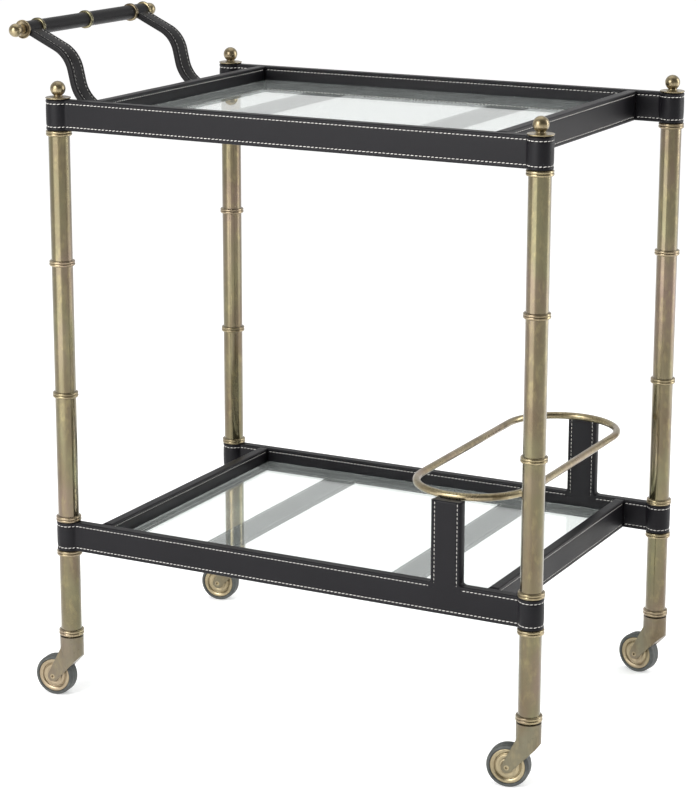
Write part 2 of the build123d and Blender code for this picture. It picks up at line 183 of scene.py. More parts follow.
def stitchShell():
    # One stitch: ellipses across X, whose size falls off as the root of one less the distance to the
    # power 3.2.
    around, along = 8, 6
    t = np.arange(around) * 2 * math.pi / around
    u = np.linspace(-1, 1, along)
    fat = (1 - np.abs(u) ** 3.2) ** 0.5
    fat[[0, -1]] = 0.25
    grid = np.stack([
        np.repeat((u * stitch["length"] / 2)[:, None], around, 1),
        fat[:, None] * np.cos(t) * stitch["width"] / 2,
        fat[:, None] * np.sin(t) * stitch["height"] / 2,
    ], -1)
    a, b = np.meshgrid(np.arange(along - 1), np.arange(around), indexing="ij")
    d = (b + 1) % around
    quads = np.stack([a * around + b, a * around + d, (a + 1) * around + d, (a + 1) * around + b], -1)
    quads = quads.reshape(-1, 4)[:, ::-1]
    ends = np.array([[0, 1, 2, 3], [0, 3, 4, 7], [4, 5, 6, 7]])
    last = (along - 1) * around
    quads = np.vstack([quads, ends, last + ends[:, ::-1]])
    return grid.reshape(-1, 3), quads


def stitchRow(shells, path, normals, keep=None, seed=1):
    # Stitches at an even pitch along a path; keep says which points of the path may carry one.
    rng = np.random.default_rng(abs(int(seed * 7)) + 1)
    steps = np.linalg.norm(np.diff(path, axis=0), axis=1)
    run = np.concatenate([[0], np.cumsum(steps)])
    count = max(int(run[-1] / stitch["pitch"]), 1)
    at = (np.arange(count) + 0.5) * run[-1] / count
    centre = np.stack([np.interp(at, run, path[:, i]) for i in range(3)], -1)
    up = np.stack([np.interp(at, run, normals[:, i]) for i in range(3)], -1)
    up /= np.linalg.norm(up, axis=1, keepdims=True)
    after, before = (np.stack([np.interp(at + way, run, path[:, i]) for i in range(3)], -1)
                     for way in (1, -1))
    ahead = after - before
    ahead -= up * np.einsum("ij,ij->i", ahead, up)[:, None]
    ahead /= np.linalg.norm(ahead, axis=1, keepdims=True)
    side = np.cross(up, ahead)
    lean = np.radians(stitch["slant"] + rng.normal(0, stitch["slantSpread"], count))
    along = ahead * np.cos(lean)[:, None] + side * np.sin(lean)[:, None]
    across = np.cross(up, along)
    size = 1 + rng.normal(0, stitch["sizeSpread"], count)
    place = np.stack([along * size[:, None], across, up, centre - up * stitch["sink"]], -1)
    if keep is not None:
        place = place[np.interp(at, run, keep.astype(float)) > 0.5]
    shells.copies(*stitchShell(), place)


cover = {
    "roll": 1.9,          # rounding along a cover's edges
    "lip": 0.12,
    "groove": 0.5,        # depth that the seam presses in
    "grooveWidth": 0.9,
    "pillow": 0.38,       # swell of the leather between two seams
    "pillowReach": 4.0,
    "wave": 0.05,         # unevenness along a bar
}
rail = {"collar": 14.8, "crease": 3.5, "columns": 210}
post = {
    "half": 18.5,         # half the post's width
    "top": 322.4,
    "flare": 3.5,         # hollow radius where the post grows out of its rail
    "root": 9.0,          # how far the post reaches down into the rail
    "rootFade": 6.0,      # where, under the band's top, its faces start to slip under the rail's
    "rootSink": 0.6,
    "proud": 0.03,        # keeps the post's faces clear of the rail's
}


def coverDepth(edge, strength=1.0):
    # How far a cover lies under its outer size, by the distance to its edge: a lip, plus a bell curve for
    # the pressed seam, plus a swell that dies away exponentially inside the seam.
    seam = cover["groove"] * np.exp(-((edge - stitch["edge"]) / cover["grooveWidth"]) ** 2)
    swell = cover["pillow"] * np.exp(-np.maximum(edge - stitch["edge"], 0) / cover["pillowReach"])
    return cover["lip"] + strength * (seam + np.where(edge < stitch["edge"], cover["pillow"] * 0.3, swell))


def faceSamples(width, fine=0.45):
    # Distances across a cover's face, close together near both seams.
    near = np.concatenate([np.arange(cover["roll"], 8.5, fine), np.arange(9, 13, 1.0)])
    near = near[near < width / 2 - 0.4]
    return np.concatenate([near, [width / 2], (width - near)[::-1]])


def bandSection(height):
    # Depth and height down a band's side, from the start of the top roll to the end of the bottom roll.
    roll = cover["roll"]
    t = np.linspace(0, math.pi / 2, 7)
    top = np.stack([roll * (1 - np.sin(t)), height - roll * (1 - np.cos(t))], -1)
    side = faceSamples(height)[1:-1]
    middle = np.stack([np.zeros(len(side)), height - side], -1)
    bottom = np.stack([roll * (1 - np.sin(t)), roll * (1 - np.cos(t))], -1)[::-1]
    return np.vstack([top, middle, bottom])


def railPlan():
    # Closed plan of a long rail, counter-clockwise: a straight, a hollow arc, a collar's arc round the
    # leg and another hollow arc, then the same again turned by half a circle.
    radius, crease, half = rail["collar"], rail["crease"], layout["bandThickness"] / 2
    rise = half + crease
    reach = math.sqrt((radius + crease) ** 2 - rise ** 2)
    lean = math.atan2(rise, reach)
    end = (layout["rightX"] - layout["leftX"]) / 2
    straight = np.linspace(-(end - reach), end - reach, rail["columns"])[1:-1]
    front = np.stack([straight, np.full(len(straight), -half)], -1)
    collar = [
        arc(end - reach, -rise, crease, math.pi / 2, lean, 10)[:-1],
        arc(end, 0, radius, lean - math.pi, math.pi - lean, 80),
        arc(end - reach, rise, crease, -lean, -math.pi / 2, 10)[1:],
    ]
    halfLoop = np.vstack([front] + collar)
    return np.vstack([halfLoop, -halfLoop]), end


def planNormals(plan):
    # Outward normals of a closed plan: the way from one neighbour to the other, turned right by a quarter.
    ahead = np.roll(plan, -1, 0) - np.roll(plan, 1, 0)
    ahead /= np.linalg.norm(ahead, axis=1, keepdims=True)
    return np.stack([ahead[:, 1], -ahead[:, 0]], -1)


def longRail(shells, threads, y, z0, postX, inner, seed):
    # One wrapped long rail and its two rows of stitches: the plan, drawn in along its normals by the
    # section's depth and the cover's own at each height, and closed to the plan's middle line at top and
    # bottom.
    plan, end = railPlan()
    normals = planNormals(plan)
    middle = np.stack([np.clip(plan[:, 0], -end, end), np.zeros(len(plan))], -1)
    height = layout["bandHeight"]
    section = bandSection(height)
    seamTop = np.ones(len(plan))
    if postX is not None:
        off = np.abs(plan[:, 0] - postX)
        seamTop = np.clip((off - (post["half"] - stitch["edge"])) / 1.5, 0, 1)
    rows = []
    for share in (0.0, 0.5, 0.85):
        spot = middle * (1 - share) + (plan - normals * cover["roll"]) * share
        rows.append(np.column_stack([spot, np.full(len(plan), height)]))
    run = np.cumsum(np.linalg.norm(plan - np.roll(plan, 1, 0), axis=1))
    wave = cover["wave"] * (1 + 0.5 * np.sin(run / 31.0 + seed) + 0.5 * np.sin(run / 12.3 + 2 * seed))
    for depth, z in section:
        upper = z > height / 2
        edge = height - z if upper else z
        onFace = cover["roll"] <= edge
        sunk = coverDepth(edge, seamTop if upper else 1.0) if onFace else cover["lip"] * edge / cover["roll"]
        spot = plan - normals * (depth + sunk + wave)[:, None]
        rows.append(np.column_stack([spot, np.full(len(plan), z)]))
    for share in (0.85, 0.5, 0.0):
        spot = middle * (1 - share) + (plan - normals * cover["roll"]) * share
        rows.append(np.column_stack([spot, np.zeros(len(plan))]))
    x0 = (layout["leftX"] + layout["rightX"]) / 2
    grid = np.array(rows) + np.array([x0, y, z0])
    shells.add(grid, capEnds=False)
    flat = np.column_stack([normals, np.zeros(len(plan))])
    sunk = cover["lip"] + cover["groove"] + cover["pillow"] * 0.6
    crossFace = end - layout["crossInset"]     # no stitches where a cross rail butts against the long one
    insideFace = np.sign(plan[:, 1]) == inner
    insideFace &= np.abs(plan[:, 0]) > crossFace - layout["bandThickness"] - 1
    insideFace &= np.abs(plan[:, 0]) < crossFace + 1
    for z, clear in ((height - stitch["edge"], seamTop > 0.4), (stitch["edge"], seamTop > -1)):
        line = np.column_stack([plan - normals * sunk, np.full(len(plan), z)]) + np.array([x0, y, z0])
        loop = np.vstack([line, line[:1]])
        keep = np.append(clear & ~insideFace, False)
        stitchRow(threads, loop, np.vstack([flat, flat[:1]]), keep, seed)


def straightBar(shells, threads, start, end, up, width, height, seams, seed, capIn=0.0):
    # A straight wrapped bar: a rounded rectangle, width across and height along up, whose sewn faces sink
    # as coverDepth says, carried from start to end. seams names the sewn faces, capIn how far their rows
    # stop short.
    start, end, up = (np.array(v, float) for v in (start, end, up))
    length = np.linalg.norm(end - start)
    ahead = (end - start) / length
    side = np.cross(up, ahead)
    # Each face: its outward way, the way across it, its own width and the bar's thickness behind it.
    faces = {
        "top": (up, -side, width, height),
        "right": (-side, -up, height, width),
        "bottom": (-up, side, width, height),
        "left": (side, up, height, width),
    }
    outline, outward = [], []
    for face, (out, walk, span, thick) in faces.items():
        roll = min(cover["roll"], span / 2 - 0.2, thick / 2 - 0.2)
        if face in seams:
            spots = faceSamples(span)
            depth = coverDepth(np.minimum(spots, span - spots))
        else:
            spots = np.linspace(roll, span - roll, 7)
            depth = np.full(7, cover["lip"])
        outline.append(out * (thick / 2) - out * depth[:, None] + walk * (spots - span / 2)[:, None])
        outward.append(np.repeat(out[None], len(spots), 0))
        t = np.linspace(0, math.pi / 2, 5)[1:-1]
        corner = out * (thick / 2 - roll) + walk * (span / 2 - roll)
        bend = np.cos(t)[:, None] * out + np.sin(t)[:, None] * walk
        outline.append(corner + (roll - cover["lip"]) * bend)
        outward.append(bend)
    along = np.linspace(0, 1, max(int(length / 6), 2))
    wave = cover["wave"] * np.sin(along * length / 17.0 + seed)
    grid = start + (end - start) * along[:, None, None] + np.vstack(outline)[None]
    grid = grid - np.vstack(outward)[None] * (cover["wave"] + wave)[:, None, None]
    shells.add(grid)
    sunk = coverDepth(np.array([stitch["edge"]]))[0]
    for face in seams:
        out, walk, span, thick = faces[face]
        for place in (stitch["edge"] - span / 2, span / 2 - stitch["edge"]):
            line = np.array([start, end]) + ahead * np.array([[capIn], [-capIn]])
            line = line + out * (thick / 2 - sunk) + walk * place
            dense = line[0] + (line[1] - line[0]) * np.linspace(0, 1, 60)[:, None]
            stitchRow(threads, dense, np.repeat(out[None], 60, 0), None, seed + int(place))


def galleryPost(shells, threads, y, seed):
    # Leather post out of a lower rail, sewn down both edges: at each height a rounded rectangle, whose
    # half width grows by a quarter circle of the flare where it meets the rail, and whose faces sink as
    # coverDepth says.
    half, flare, roll = post["half"], post["flare"], cover["roll"]
    thick = layout["bandThickness"] / 2
    bandTop = layout["lowerBand"] + layout["bandHeight"]
    z = np.concatenate([
        np.linspace(bandTop - post["root"], bandTop, 19)[:-1],
        bandTop + flare * (1 - np.cos(np.linspace(0, math.pi / 2, 9)))[:-1],
        np.linspace(bandTop + flare, post["top"], 40),
    ])
    up = np.clip(z - bandTop, 0, flare)
    widen = flare - np.sqrt(flare ** 2 - (flare - up) ** 2)
    spots = faceSamples(2 * half)
    t = np.linspace(0, math.pi / 2, 5)[1:-1]
    inner = roll - cover["lip"]
    edgeLine = np.linspace(1, -1, 6)[1:3, None] * (thick - roll)
    rows = []
    for height, wide in zip(z, widen):
        x = (spots - half) * (half + wide) / half
        away = half - np.abs(x)
        if height <= bandTop - stitch["edge"]:
            away = np.maximum(away, stitch["edge"] + 6.0)
        depth = coverDepth(np.abs(away)) - post["proud"]
        fade = np.clip((bandTop - post["rootFade"] - height) / 3, 0, 1)
        flat = np.stack([x, np.full(len(x), thick) - depth - fade * post["rootSink"]], -1)
        bend = np.stack([half + wide - roll + inner * np.sin(t), thick - roll + inner * np.cos(t)], -1)
        edge = np.column_stack([np.full(2, half + wide - cover["lip"]), edgeLine])
        loop = np.vstack([flat, bend, edge])
        rows.append(np.column_stack([np.vstack([-loop, loop]), np.full(2 * len(loop), height)]))
    shells.add(np.array(rows) + np.array([layout["galleryX"], y, 0]))
    sunk = coverDepth(np.array([stitch["edge"]]))[0]
    zs = np.linspace(bandTop - stitch["edge"] + 1, post["top"] - 1, 40)
    for face in (-1, 1):
        for edge in (-1, 1):
            line = np.column_stack([np.full(40, layout["galleryX"] + edge * (half - stitch["edge"])),
                                    np.full(40, y + face * (thick - sunk)), zs])
            stitchRow(threads, line, np.repeat([[0.0, face, 0.0]], 40, 0), None, seed + edge + 3 * face)


strapShape = {
    "width": 26.4,
    "thickness": 8.0,
    "leave": 25.0,        # slope where it leaves the bar
    "drop": 77.0,         # slope of its steep stretch
    "upperBend": 38.0,
    "lowerBend": 40.0,
    "elbowReach": 32.3,   # leg axis out to the corner of the upper bend
    "footRise": 14.0,     # band's underside up to the strap's foot
    "footIn": 0.3,        # how far its end reaches into the cross rail
    "centreY": 120.0,
    "barClear": 10.5,     # stitches start this far from the bar's axis
    "railClear": 1.5,
}


def strapLine():
    # Side view of a handle strap's middle, as x and z: straight stretches joined by two arcs, each
    # touching both.
    v = strapShape
    bar = np.array([layout["barX"], layout["barZ"]])
    elbowX = layout["leftX"] - v["elbowReach"]
    elbow = np.array([elbowX, bar[1] - math.tan(math.radians(v["leave"])) * (elbowX - bar[0])])
    footZ = layout["upperBand"] + v["footRise"]
    knee = np.array([elbow[0] + (elbow[1] - footZ) / math.tan(math.radians(v["drop"])), footZ])
    foot = np.array([layout["leftX"] + layout["crossInset"] + v["footIn"], footZ])
    bends = ((bar, elbow, knee, v["upperBend"]), (elbow, knee, foot, v["lowerBend"]))
    out = [bar]
    for before, corner, after, radius in bends:
        a = (corner - before) / np.linalg.norm(corner - before)
        b = (after - corner) / np.linalg.norm(after - corner)
        turn = math.acos(np.clip(a @ b, -1, 1))
        trim = radius * math.tan(turn / 2)
        side = np.array([-a[1], a[0]]) * np.sign(a[0] * b[1] - a[1] * b[0])
        centre = corner - a * trim + side * radius
        for t in np.linspace(0, turn, 26):
            out.append(centre - side * radius * math.cos(t) + a * radius * math.sin(t))
    out.append(foot)
    line = np.array(out)
    steps = np.concatenate([[0], np.cumsum(np.linalg.norm(np.diff(line, axis=0), axis=1))])
    even = np.linspace(0, steps[-1], 110)
    return np.stack([np.interp(even, steps, line[:, i]) for i in range(2)], -1)


def handleStrap(shells, threads, side, seed):
    # One wrapped strap of the handle, sewn along both edges of both wide faces: a rounded rectangle,
    # whose wide faces sink as coverDepth says, carried along the side view.
    v = strapShape
    line = strapLine()
    ahead = np.gradient(line, axis=0)
    ahead /= np.linalg.norm(ahead, axis=1, keepdims=True)
    out = np.stack([-ahead[:, 1], ahead[:, 0]], -1)
    width, thick, roll = v["width"], v["thickness"], cover["roll"]
    spots = faceSamples(width)
    depth = coverDepth(np.minimum(spots, width - spots))
    t = np.linspace(0, math.pi / 2, 6)[1:-1]
    inner = roll - cover["lip"]
    upper = np.stack([spots - width / 2, thick / 2 - depth], -1)
    bend = np.stack([width / 2 - roll + inner * np.sin(t), thick / 2 - roll + inner * np.cos(t)], -1)
    edge = np.array([[width / 2 - cover["lip"], k] for k in (1.4, 0.0, -1.4)])
    low = np.stack([bend[::-1, 0], -bend[::-1, 1]], -1)
    half = np.vstack([upper, bend, edge, low])
    section = np.vstack([half, -half])
    grid = np.zeros((len(line), len(section), 3))
    grid[:, :, 0] = line[:, None, 0] + out[:, None, 0] * section[None, :, 1]
    grid[:, :, 1] = side * v["centreY"] + section[None, :, 0]
    grid[:, :, 2] = line[:, None, 1] + out[:, None, 1] * section[None, :, 1]
    shells.add(grid)
    sunk = coverDepth(np.array([stitch["edge"]]))[0]
    railFace = layout["leftX"] + layout["crossInset"]
    for face in (1, -1):
        offset = line + out * face * (thick / 2 - sunk)
        up = np.column_stack([out[:, 0] * face, np.zeros(len(line)), out[:, 1] * face])
        for place in (-1, 1):
            seamY = side * v["centreY"] + place * (width / 2 - stitch["edge"])
            path = np.column_stack([offset[:, 0], np.full(len(line), seamY), offset[:, 1]])
            clear = np.hypot(path[:, 0] - layout["barX"], path[:, 2] - layout["barZ"]) > v["barClear"]
            clear &= path[:, 0] < railFace - v["railClear"]
            stitchRow(threads, path, up, clear, seed + face + 5 * place)


def beads(low, high, base, crown, count, steps=9):
    # Outline of rounded beads stacked between two heights: radius goes from base out to crown as the
    # cosine to the power 0.55, height as the sine.
    out = []
    pitch = (high - low) / count
    for i in range(count):
        t = np.linspace(-math.pi / 2, math.pi / 2, steps)
        r = base + (crown - base) * np.cos(t) ** 0.55
        z = low + pitch * (i + 0.5 + 0.5 * np.sin(t))
        out.append(np.stack([r, z], -1))
    return np.vstack(out)


ring = {
    "height": 7.0,
    "footHeight": 7.6,
    "bore": 12.75,
    "lip": 13.5,
    "shoulder": 13.7,
    "groove": 14.1,
    "crown": 15.4,
    "spacing": 0.3413,    # of the middle rings, over that of the end rings
}


def ringProfile(height):
    # A leg ring: a narrow lip, two beads with a fine groove between them, another lip, and the bore.
    split = height * 0.52
    outline = np.vstack([
        [[ring["bore"], 0.0], [ring["lip"], 0.0], [ring["shoulder"], 0.35]],
        beads(0.45, split, ring["groove"], ring["crown"], 1),
        beads(split, height - 0.45, ring["groove"], ring["crown"] - 0.1, 1),
        [[ring["shoulder"], height - 0.35], [ring["lip"] - 0.1, height], [ring["bore"], height]],
    ])
    return np.vstack([outline, outline[:1]])


finial = {"ball": 9.0, "neck": 5.2, "rise": 12.0, "seat": 3.4}
finialDish = eased(np.array([
    [4.3, 0.0], [12.4, 0.0], [14.2, 0.5], [14.95, 1.3], [14.95, 2.1], [14.3, 2.35], [13.2, 2.1],
    [8.6, 1.5], [6.9, 2.2], [6.2, 3.3], [4.3, 3.35], [4.3, 0.0]]))


def ballProfile(radius, neck, centre, seat):
    # A ball on a short neck: from the neck's foot up to where it meets the ball, then round the ball to
    # its top.
    start = math.asin(neck / radius)
    t = np.linspace(math.pi - start, 0.002, 40)
    ball = np.stack([radius * np.sin(t), centre + radius * np.cos(t)], -1)
    foot = np.array([[neck - 1.0, seat], [neck + 0.5, seat], [neck + 0.2, seat + 0.35], [neck, seat + 0.7]])
    return np.vstack([foot, ball])


class Shader:
    # A node material under construction.
    def __init__(self, name):
        self.material = bpy.data.materials.new(name)
        self.material.use_nodes = True
        self.tree = self.material.node_tree
        self.tree.nodes.clear()
        self.place = self.node("ShaderNodeTexCoord").outputs["Object"]

    def node(self, kind, props=None, **sockets):
        made = self.tree.nodes.new(kind)
        for key, value in (props or {}).items():
            setattr(made, key, value)
        for key, value in sockets.items():
            self.put(made.inputs[key.replace("_", " ")], value)
        return made

    def put(self, socket, value):
        if isinstance(value, bpy.types.NodeSocket):
            self.tree.links.new(value, socket)
        else:
            socket.default_value = value

    def noise(self, scale, detail=3.0, roughness=0.55, stretch=(1, 1, 1), distortion=0.0):
        moved = self.node("ShaderNodeMapping", Vector=self.place, Scale=stretch).outputs[0]
        made = self.node("ShaderNodeTexNoise", Vector=moved, Scale=scale, Detail=detail, Roughness=roughness,
                         Distortion=distortion)
        return made.outputs[0]

    def cells(self, scale):
        edge = {"feature": "DISTANCE_TO_EDGE"}
        return self.node("ShaderNodeTexVoronoi", edge, Vector=self.place, Scale=scale).outputs[0]

    def span(self, value, low, high, start, end):
        made = self.node("ShaderNodeMapRange")
        for index, item in enumerate((value, low, high, start, end)):
            self.put(made.inputs[index], item)
        return made.outputs[0]

    def mix(self, share, first, second, blend="MIX"):
        made = self.node("ShaderNodeMix", {"data_type": "RGBA", "blend_type": blend})
        for index, item in ((0, share), (6, first), (7, second)):
            self.put(made.inputs[index], item)
        return made.outputs[2]

    def math(self, operation, first, second):
        made = self.node("ShaderNodeMath", {"operation": operation})
        self.put(made.inputs[0], first)
        self.put(made.inputs[1], second)
        return made.outputs[0]

    def bump(self, height, strength, distance, normal=None):
        made = self.node("ShaderNodeBump", Strength=strength, Distance=distance, Height=height)
        if normal is not None:
            self.put(made.inputs["Normal"], normal)
        return made.outputs[0]

    def principled(self, **sockets):
        made = self.node("ShaderNodeBsdfPrincipled", **sockets)
        self.node("ShaderNodeOutputMaterial", Surface=made.outputs[0])


def colour(r, g, b):
    return (r, g, b, 1.0)


brass = {
    "tube": {
        "olive": colour(0.15, 0.138, 0.068),
        "brown": colour(0.12, 0.086, 0.045),
        "rose": colour(0.18, 0.12, 0.095),
        "gold": colour(0.27, 0.225, 0.10),
        "roughness": 0.19,
        "gloss": 0.6,
    },
    "trim": {
        "olive": colour(0.33, 0.275, 0.155),
        "brown": colour(0.20, 0.155, 0.09),
        "rose": colour(0.34, 0.25, 0.19),
        "gold": colour(0.52, 0.43, 0.255),
        "roughness": 0.28,
        "gloss": 0.35,
    },
    "castor": {
        "olive": colour(0.17, 0.155, 0.105),
        "brown": colour(0.15, 0.115, 0.07),
        "rose": colour(0.2, 0.155, 0.125),
        "gold": colour(0.28, 0.23, 0.135),
        "roughness": 0.36,
        "gloss": 0.15,
    },
    "hub": {
        "olive": colour(0.36, 0.30, 0.185),
        "brown": colour(0.26, 0.205, 0.12),
        "rose": colour(0.37, 0.285, 0.2),
        "gold": colour(0.48, 0.40, 0.25),
        "roughness": 0.33,
        "gloss": 0.2,
    },
}


def brassShader(name, v):
    # Aged brass: colour = olive to brown by a cloud of noise drawn out along Z, then to rose by a wider
    # one, to gold where a fine mottle peaks and darker at specks and streaks; roughness = its own value,
    # changed by the cloud and the streaks; bump = brushing and small pits.
    s = Shader(name)
    cloud = s.span(s.noise(26, 5, 0.6, (1, 1, 0.28), 0.4), 0.38, 0.62, 0.0, 1.0)
    wide = s.span(s.noise(11, 3, 0.5, (1, 1, 0.55), 0.6), 0.5, 0.66, 0.0, 0.7)
    mottle = s.span(s.noise(120, 6, 0.7, (1, 1, 0.5)), 0.5, 0.78, 0.0, 0.8)
    streak = s.noise(700, 3, 0.6, (1, 1, 0.03))
    specks = s.span(s.noise(420, 2, 0.5), 0.68, 0.74, 0.0, 0.45)
    tone = s.mix(cloud, v["olive"], v["brown"])
    tone = s.mix(wide, tone, v["rose"])
    tone = s.mix(mottle, tone, v["gold"])
    tone = s.mix(specks, tone, colour(0.07, 0.055, 0.035))
    tone = s.mix(s.span(streak, 0.3, 0.7, 0.0, 0.25), tone, colour(0.14, 0.115, 0.07))
    rough = s.math("ADD", s.span(cloud, 0.0, 1.0, v["roughness"] - 0.04, v["roughness"] + 0.06),
                   s.span(streak, 0.3, 0.7, -0.03, 0.05))
    grain = s.bump(streak, 0.1, 0.00025)
    pits = s.bump(s.noise(260, 4, 0.6), 0.08, 0.0003, grain)
    s.principled(Base_Color=tone, Metallic=0.93, Roughness=rough, Normal=pits, Coat_Weight=v["gloss"],
                 Coat_Roughness=0.12)
    return s.material


def leatherShader(name, base, roughness):
    # Smooth finished hide: colour = near black, lifted by broad clouds and darker at the pores' edges;
    # roughness = its own value, changed by the clouds and wrinkles; bump = pore cells over wrinkle noise.
    s = Shader(name)
    clouds = s.noise(9, 4, 0.6)
    pores = s.cells(1150)
    wrinkle = s.noise(330, 5, 0.65, distortion=1.2)
    tone = s.mix(s.span(clouds, 0.35, 0.7, 0.0, 1.0), base, tuple(c * 1.35 for c in base[:3]) + (1.0,))
    tone = s.mix(s.span(pores, 0.0, 0.06, 0.35, 0.0), tone, tuple(c * 0.5 for c in base[:3]) + (1.0,))
    rough = s.math("ADD", s.span(clouds, 0.3, 0.7, roughness - 0.05, roughness + 0.05),
                   s.span(wrinkle, 0.3, 0.7, -0.04, 0.04))
    lower = s.bump(wrinkle, 0.16, 0.0005)
    upper = s.bump(s.span(pores, 0.0, 0.12, 0.0, 1.0), 0.14, 0.00025, lower)
    s.principled(Base_Color=tone, Roughness=rough, Normal=upper, Specular_IOR_Level=0.15)
    return s.material


def threadShader(name):
    # Waxed linen thread: colour = off-white to grey by fine noise, greyer where it is soiled; bump = the
    # fine noise.
    s = Shader(name)
    fuzz = s.noise(2600, 3, 0.7)
    dirt = s.noise(60, 3, 0.6)
    tone = s.mix(s.span(fuzz, 0.35, 0.65, 0.0, 1.0), colour(0.72, 0.70, 0.66), colour(0.5, 0.48, 0.45))
    tone = s.mix(s.span(dirt, 0.5, 0.75, 0.0, 0.4), tone, colour(0.42, 0.40, 0.37))
    s.principled(Base_Color=tone, Roughness=0.7, Normal=s.bump(fuzz, 0.5, 0.0003))
    return s.material


glass = {"clear": 0.95, "index": 1.62}


def glassShader(name):
    # Clear float glass: faint green tint; roughness = nearly nothing plus smear noise, which also clouds
    # it a little; light passes straight through it for shadows, and its body takes up a little red and
    # blue.
    s = Shader(name)
    smear = s.noise(14, 4, 0.6, (1, 1, 1), 1.5)
    rough = s.span(smear, 0.45, 0.8, 0.0, 0.05)
    tint = s.mix(s.noise(6, 2), colour(0.965, 0.985, 0.975), colour(0.95, 0.98, 0.967))
    made = s.node("ShaderNodeBsdfPrincipled", Base_Color=tint, Roughness=rough, IOR=glass["index"],
                  Transmission_Weight=s.span(smear, 0.3, 0.8, glass["clear"], glass["clear"] - 0.05))
    clear = s.node("ShaderNodeBsdfTransparent", Color=colour(0.9, 0.94, 0.925))
    ray = s.node("ShaderNodeLightPath").outputs["Is Shadow Ray"]
    both = s.node("ShaderNodeMixShader")
    s.put(both.inputs[0], ray)
    s.put(both.inputs[1], made.outputs[0])
    s.put(both.inputs[2], clear.outputs[0])
    body = s.node("ShaderNodeVolumeAbsorption", Color=colour(0.55, 0.80, 0.70), Density=7.0)
    s.node("ShaderNodeOutputMaterial", Surface=both.outputs[0], Volume=body.outputs[0])
    return s.material


def rubberShader(name):
    # Moulded rubber: colour = dark grey-green to a dusty grey by noise; roughness rises with it; bump =
    # fine pitting.
    s = Shader(name)
    dust = s.noise(70, 5, 0.65)
    tone = s.mix(s.span(dust, 0.4, 0.75, 0.0, 1.0), colour(0.035, 0.038, 0.036), colour(0.085, 0.09, 0.082))
    s.principled(Base_Color=tone, Roughness=s.span(dust, 0.3, 0.7, 0.5, 0.7),
                 Normal=s.bump(s.noise(900, 3), 0.2, 0.0003))
    return s.material


def steelShader(name):
    # Blackened steel inside the covers: colour and roughness = dark grey mottled by scale; bump = mill
    # grain.
    s = Shader(name)
    scale = s.noise(90, 5, 0.7)
    tone = s.mix(s.span(scale, 0.4, 0.7, 0.0, 1.0), colour(0.05, 0.05, 0.052), colour(0.14, 0.14, 0.145))
    s.principled(Base_Color=tone, Metallic=0.8, Roughness=s.span(scale, 0.3, 0.7, 0.4, 0.6),
                 Normal=s.bump(s.noise(600, 3), 0.2, 0.0003))
    return s.material


tubeBrass = brassShader("brassTube", brass["tube"])
trimBrass = brassShader("brassTrim", brass["trim"])
castorBrass = brassShader("brassCastor", brass["castor"])
hubBrass = brassShader("brassHub", brass["hub"])
bandLeather = leatherShader("leatherBand", colour(0.0062, 0.0058, 0.0072), 0.40)
strapLeather = leatherShader("leatherStrap", colour(0.0066, 0.0062, 0.0068), 0.38)
linen = threadShader("thread")
shelfGlass = glassShader("glassShelf")
tyreRubber = rubberShader("tyreRubber")
darkSteel = steelShader("frameSteel")
print("materials made")

# Finishes of the nodes that are shown as they come from model.glb.
for nodeName, obj in nodes.items():
    if nodeName.endswith("_glass"):
        finish = shelfGlass
    elif "leather" in nodeName or nodeName == "handle_grips":
        finish = strapLeather if "handle" in nodeName else bandLeather
    elif nodeName.endswith("steel_frame") or nodeName in ("handle_arm_steels", "leg_tie_rods", "handle_rod"):
        finish = darkSteel
    elif nodeName.endswith("_tyre"):
        finish = tyreRubber
    elif nodeName.endswith("_fork"):
        finish = castorBrass
    elif nodeName.endswith("_hub") or nodeName.endswith("_axle"):
        finish = hubBrass
    elif nodeName.endswith("_tube"):
        finish = tubeBrass
    else:
        finish = trimBrass
    for index in range(len(obj.data.materials)):
        obj.data.materials[index] = finish
    if not obj.data.materials:
        obj.data.materials.append(finish)

